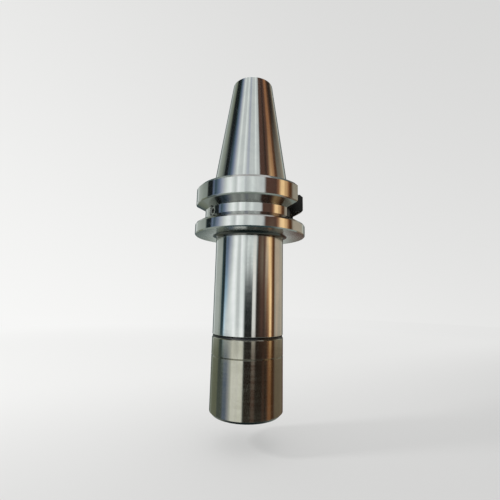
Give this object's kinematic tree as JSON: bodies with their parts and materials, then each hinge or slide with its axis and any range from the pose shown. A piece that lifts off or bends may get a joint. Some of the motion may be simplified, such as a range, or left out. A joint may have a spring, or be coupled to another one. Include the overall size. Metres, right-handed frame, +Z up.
{
  "type": "collet chuck holder",
  "caption": "Steep-taper tool holder with a grooved drive flange, long slim barrel and a smooth round nut that clamps a slit spring collet.",
  "frame": {"origin": "centre of the clamping nut's front face, on the tool's axis; the holder stands on this face", "axes": "+Z up the tool's axis towards the small end of the taper; the two drive slots open along +X and -X"},
  "size_m": [0.046, 0.046, 0.1384],
  "materials": {
    "ground_steel": "hardened and ground, bright",
    "dark_steel": "hardened, darkened satin",
    "ring_steel": "hardened and turned",
    "spring_steel": "blued spring steel",
    "collet_steel": "hardened and ground",
    "black_screw": "black oxide"
  },
  "bodies": {
    "chuck": {"chuck_body": "ground_steel", "balance_screw": "black_screw"},
    "collet_set": {"spring_collet": "collet_steel", "extractor_ring": "ring_steel"},
    "nut": {"clamping_nut": "dark_steel", "snap_ring": "spring_steel"},
    "stop": {"stop_screw": "black_screw"}
  },
  "joints": [
    {"name": "collet_travel", "type": "slide", "parent": "chuck", "child": "collet_set", "axis": [0, 0, -1], "range_m": [0, 0.01]},
    {"name": "nut_turn", "type": "hinge", "parent": "collet_set", "child": "nut", "pos_m": [0, 0, 0.014], "axis": [0, 0, -1], "range_deg": [0, 3600]},
    {"name": "stop_travel", "type": "slide", "parent": "chuck", "child": "stop", "axis": [0, 0, 1], "range_m": [0, 0.006]}
  ],
  "couplings": [
    {"joint": "nut_turn", "follows": "collet_travel", "rad_per_m": 6283.2}
  ]
}
